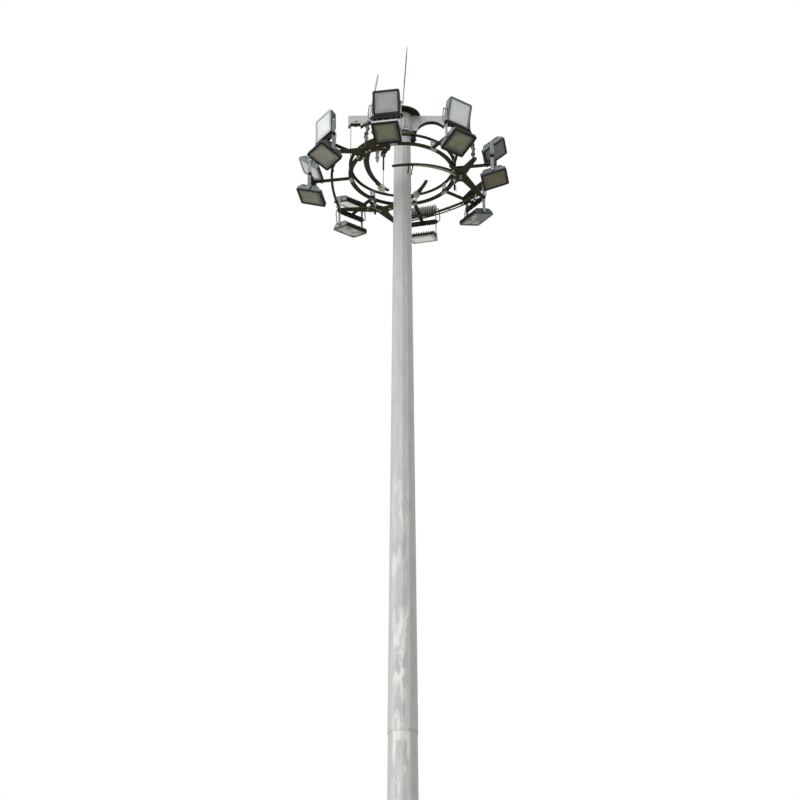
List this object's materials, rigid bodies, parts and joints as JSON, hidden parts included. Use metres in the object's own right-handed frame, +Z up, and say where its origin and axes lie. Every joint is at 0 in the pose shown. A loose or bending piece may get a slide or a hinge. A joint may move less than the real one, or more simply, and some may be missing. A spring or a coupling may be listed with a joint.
{
  "type": "high mast floodlight tower",
  "caption": "Folded tapering steel mast with a base plate, a head with rope arms, and a ring carriage of tilting floodlights that is lowered down the mast by ropes.",
  "frame": {"origin": "centre of the base plate's underside", "axes": "+Z up the mast, -Y towards the viewer of the picture, +X to the viewer's right"},
  "size_m": [3.3786, 3.3672, 21.6323],
  "materials": {
    "galvanised_steel": "dull zinc",
    "dark_paint": "matt",
    "sheave_iron": "worn",
    "black_sheet": "matt",
    "brown_rod": "weathered",
    "pale_tube": "dull",
    "rope_steel": "wire rope",
    "zinc_plate": "dull zinc",
    "roller_nylon": "matt",
    "black_channel": "matt",
    "lamp_casting": "painted blue-grey",
    "lens_glass": "clear toughened"
  },
  "bodies": {
    "mast": {"base_plate": "galvanised_steel", "base_gussets": "galvanised_steel", "mast_lower": "galvanised_steel", "mast_upper": "galvanised_steel", "door_frame": "galvanised_steel", "access_door": "galvanised_steel", "head_hub": "galvanised_steel", "docking_collar": "zinc_plate", "head_arms": "galvanised_steel", "rope_sheaves": "sheave_iron", "rain_cap": "black_sheet", "lightning_rod": "brown_rod", "second_rod": "pale_tube", "hoist_ropes": "rope_steel"},
    "carriage": {"lower_ring": "dark_paint", "upper_ring": "dark_paint", "ring_posts": "zinc_plate", "star_plates": "dark_paint", "outer_rails": "dark_paint", "guide_arms": "dark_paint", "station_arms": "dark_paint", "crossbars": "black_channel", "yokes": "zinc_plate", "rope_anchors": "zinc_plate"},
    "upper_lamp_1": {"upper_floodlight_1": "lamp_casting", "upper_lens_1": "lens_glass"},
    "lower_lamp_1": {"lower_floodlight_1": "lamp_casting", "lower_lens_1": "lens_glass"},
    "upper_lamp_2": {"upper_floodlight_2": "lamp_casting", "upper_lens_2": "lens_glass"},
    "lower_lamp_2": {"lower_floodlight_2": "lamp_casting", "lower_lens_2": "lens_glass"},
    "upper_lamp_3": {"upper_floodlight_3": "lamp_casting", "upper_lens_3": "lens_glass"},
    "lower_lamp_3": {"lower_floodlight_3": "lamp_casting", "lower_lens_3": "lens_glass"},
    "upper_lamp_4": {"upper_floodlight_4": "lamp_casting", "upper_lens_4": "lens_glass"},
    "lower_lamp_4": {"lower_floodlight_4": "lamp_casting", "lower_lens_4": "lens_glass"},
    "upper_lamp_5": {"upper_floodlight_5": "lamp_casting", "upper_lens_5": "lens_glass"},
    "lower_lamp_5": {"lower_floodlight_5": "lamp_casting", "lower_lens_5": "lens_glass"},
    "upper_lamp_6": {"upper_floodlight_6": "lamp_casting", "upper_lens_6": "lens_glass"},
    "lower_lamp_6": {"lower_floodlight_6": "lamp_casting", "lower_lens_6": "lens_glass"},
    "upper_lamp_7": {"upper_floodlight_7": "lamp_casting", "upper_lens_7": "lens_glass"},
    "lower_lamp_7": {"lower_floodlight_7": "lamp_casting", "lower_lens_7": "lens_glass"},
    "upper_lamp_8": {"upper_floodlight_8": "lamp_casting", "upper_lens_8": "lens_glass"},
    "lower_lamp_8": {"lower_floodlight_8": "lamp_casting", "lower_lens_8": "lens_glass"},
    "roller_1": {"guide_roller_1": "roller_nylon"},
    "roller_2": {"guide_roller_2": "roller_nylon"},
    "roller_3": {"guide_roller_3": "roller_nylon"}
  },
  "joints": [
    {"name": "carriage_lower", "type": "slide", "parent": "mast", "child": "carriage", "axis": [0, 0, -1], "range_m": [0, 17.165], "deforming": ["hoist_ropes"]},
    {"name": "upper_lamp_tilt_1", "type": "hinge", "parent": "carriage", "child": "upper_lamp_1", "pos_m": [1.19268, 0.85073, 19.312], "axis": [-0.5807, 0.8141, 0], "range_deg": [-36, 54]},
    {"name": "lower_lamp_tilt_1", "type": "hinge", "parent": "carriage", "child": "lower_lamp_1", "pos_m": [1.19268, 0.85073, 18.796], "axis": [-0.5807, 0.8141, 0], "range_deg": [-70, 20]},
    {"name": "upper_lamp_tilt_2", "type": "hinge", "parent": "carriage", "child": "upper_lamp_2", "pos_m": [0.342, 1.42452, 19.312], "axis": [-0.9724, 0.2334, 0], "range_deg": [-40, 50]},
    {"name": "lower_lamp_tilt_2", "type": "hinge", "parent": "carriage", "child": "lower_lamp_2", "pos_m": [0.342, 1.42452, 18.796], "axis": [-0.9724, 0.2334, 0], "range_deg": [-70, 20]},
    {"name": "upper_lamp_tilt_3", "type": "hinge", "parent": "carriage", "child": "upper_lamp_3", "pos_m": [-0.85073, 1.19268, 19.312], "axis": [-0.8141, -0.5807, 0], "range_deg": [-65, 25]},
    {"name": "lower_lamp_tilt_3", "type": "hinge", "parent": "carriage", "child": "lower_lamp_3", "pos_m": [-0.85073, 1.19268, 18.796], "axis": [-0.8141, -0.5807, 0], "range_deg": [-72, 18]},
    {"name": "upper_lamp_tilt_4", "type": "hinge", "parent": "carriage", "child": "upper_lamp_4", "pos_m": [-1.44491, 0.2418, 19.312], "axis": [-0.165, -0.9863, 0], "range_deg": [-50, 40]},
    {"name": "lower_lamp_tilt_4", "type": "hinge", "parent": "carriage", "child": "lower_lamp_4", "pos_m": [-1.44491, 0.2418, 18.796], "axis": [-0.165, -0.9863, 0], "range_deg": [-73, 17]},
    {"name": "upper_lamp_tilt_5", "type": "hinge", "parent": "carriage", "child": "upper_lamp_5", "pos_m": [-1.19268, -0.85073, 19.312], "axis": [0.5807, -0.8141, 0], "range_deg": [-2, 88]},
    {"name": "lower_lamp_tilt_5", "type": "hinge", "parent": "carriage", "child": "lower_lamp_5", "pos_m": [-1.19268, -0.85073, 18.796], "axis": [0.5807, -0.8141, 0], "range_deg": [-70, 20]},
    {"name": "upper_lamp_tilt_6", "type": "hinge", "parent": "carriage", "child": "upper_lamp_6", "pos_m": [-0.2418, -1.44491, 19.312], "axis": [0.9863, -0.165, 0], "range_deg": [-10, 80]},
    {"name": "lower_lamp_tilt_6", "type": "hinge", "parent": "carriage", "child": "lower_lamp_6", "pos_m": [-0.2418, -1.44491, 18.796], "axis": [0.9863, -0.165, 0], "range_deg": [-76, 14]},
    {"name": "upper_lamp_tilt_7", "type": "hinge", "parent": "carriage", "child": "upper_lamp_7", "pos_m": [0.85073, -1.19268, 19.312], "axis": [0.8141, 0.5807, 0], "range_deg": [-15, 75]},
    {"name": "lower_lamp_tilt_7", "type": "hinge", "parent": "carriage", "child": "lower_lamp_7", "pos_m": [0.85073, -1.19268, 18.796], "axis": [0.8141, 0.5807, 0], "range_deg": [-70, 20]},
    {"name": "upper_lamp_tilt_8", "type": "hinge", "parent": "carriage", "child": "upper_lamp_8", "pos_m": [1.44491, -0.2418, 19.312], "axis": [0.165, 0.9863, 0], "range_deg": [-54, 36]},
    {"name": "lower_lamp_tilt_8", "type": "hinge", "parent": "carriage", "child": "lower_lamp_8", "pos_m": [1.44491, -0.2418, 18.796], "axis": [0.165, 0.9863, 0], "range_deg": [-75, 15]},
    {"name": "roller_spin_1", "type": "hinge", "parent": "carriage", "child": "roller_1", "pos_m": [0.11091, -0.32211, 18.8154], "axis": [0.9455, 0.3256, 0], "continuous": true},
    {"name": "roller_spin_2", "type": "hinge", "parent": "carriage", "child": "roller_2", "pos_m": [0.2235, 0.25711, 18.8154], "axis": [-0.7547, 0.6561, 0], "continuous": true},
    {"name": "roller_spin_3", "type": "hinge", "parent": "carriage", "child": "roller_3", "pos_m": [-0.33442, 0.065, 18.8154], "axis": [-0.1908, -0.9816, 0], "continuous": true}
  ]
}
